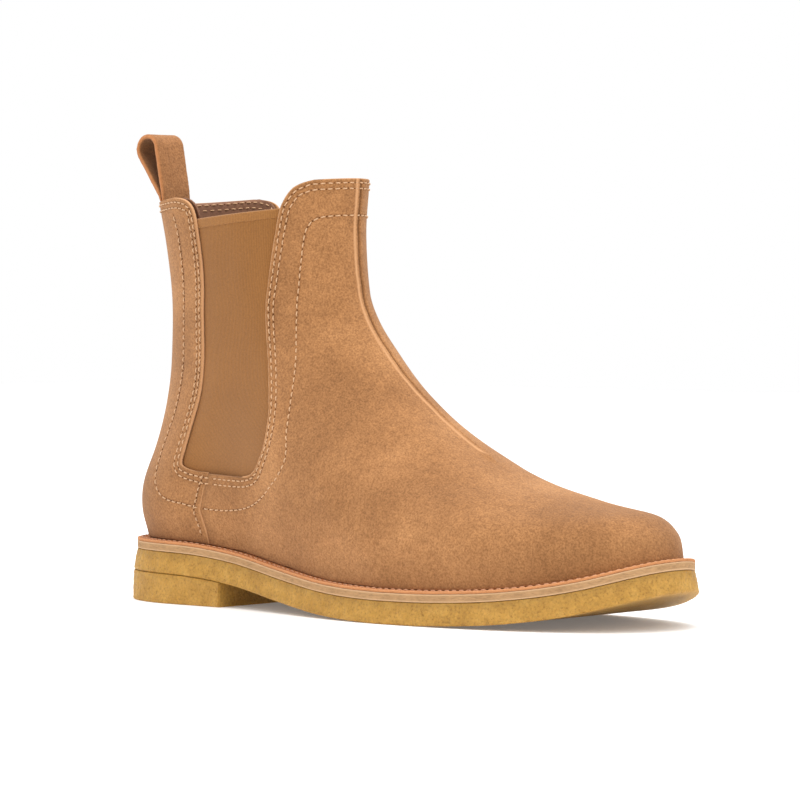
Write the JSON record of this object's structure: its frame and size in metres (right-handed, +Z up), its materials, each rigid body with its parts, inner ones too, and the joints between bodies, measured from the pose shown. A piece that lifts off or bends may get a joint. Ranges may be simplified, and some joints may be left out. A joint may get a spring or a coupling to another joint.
{
  "type": "chelsea boot",
  "caption": "Ankle-high suede pull-on boot for the right foot, with elastic side panels, a pull loop, a stitched welt and a crepe sole with a low heel.",
  "frame": {"origin": "On the floor, under the middle of the heel.", "axes": "+X points to the toe, +Y to the inner side of the foot, +Z up."},
  "size_m": [0.311, 0.1066, 0.218],
  "materials": {
    "crepe": "translucent honey-coloured natural crepe rubber, fine pores",
    "midsole": "undyed vegetable-tanned leather, matte, cut edge",
    "welt": "reddish-brown leather strip with a fuzzy cut edge, stitched",
    "board": "plain leather board",
    "cork": "ground cork",
    "steel": "plain spring steel",
    "lining": "smooth thin lining leather",
    "pad": "smooth thin lining leather over foam",
    "suede": "tan suede, soft brushed nap",
    "elastic": "fine ribbed elastic webbing",
    "strap_edge": "tan suede strip with darker cut edges",
    "strap": "tan suede strap, folded",
    "stiffener": "stiffened canvas"
  },
  "bodies": {
    "boot": {"crepe_sole": "crepe", "crepe_heel": "crepe", "midsole": "midsole", "welt": "welt", "insole_board": "board", "cork_filler": "cork", "shank": "steel", "shank_tacks": "steel", "heel_nails": "steel", "sock_liner": "lining", "heel_pad": "pad", "vamp": "suede", "quarter_outer": "suede", "quarter_inner": "suede", "gore_outer": "elastic", "gore_inner": "elastic", "gore_hem_outer": "elastic", "gore_hem_inner": "elastic", "toe_puff": "stiffener", "heel_counter": "stiffener", "vamp_lining": "lining", "heel_lining": "lining"},
    "back": {"back_panel_outer": "suede", "back_panel_inner": "suede", "backstay": "strap_edge", "pull_loop_tails": "strap", "back_lining": "lining"},
    "loop": {"pull_loop": "strap"}
  },
  "joints": [
    {"name": "back_opens", "type": "hinge", "parent": "boot", "child": "back", "pos_m": [-0.034, 0, 0.0609], "axis": [0, -1, 0], "range_deg": [0, 8], "stiffness_Nm_per_rad": 8, "deforming": ["gore_outer", "gore_inner", "gore_hem_outer", "gore_hem_inner"]},
    {"name": "loop_folds", "type": "hinge", "parent": "back", "child": "loop", "pos_m": [-0.0246, 0, 0.1902], "axis": [0, 1, 0], "range_deg": [-65, 70], "stiffness_Nm_per_rad": 0.02}
  ]
}
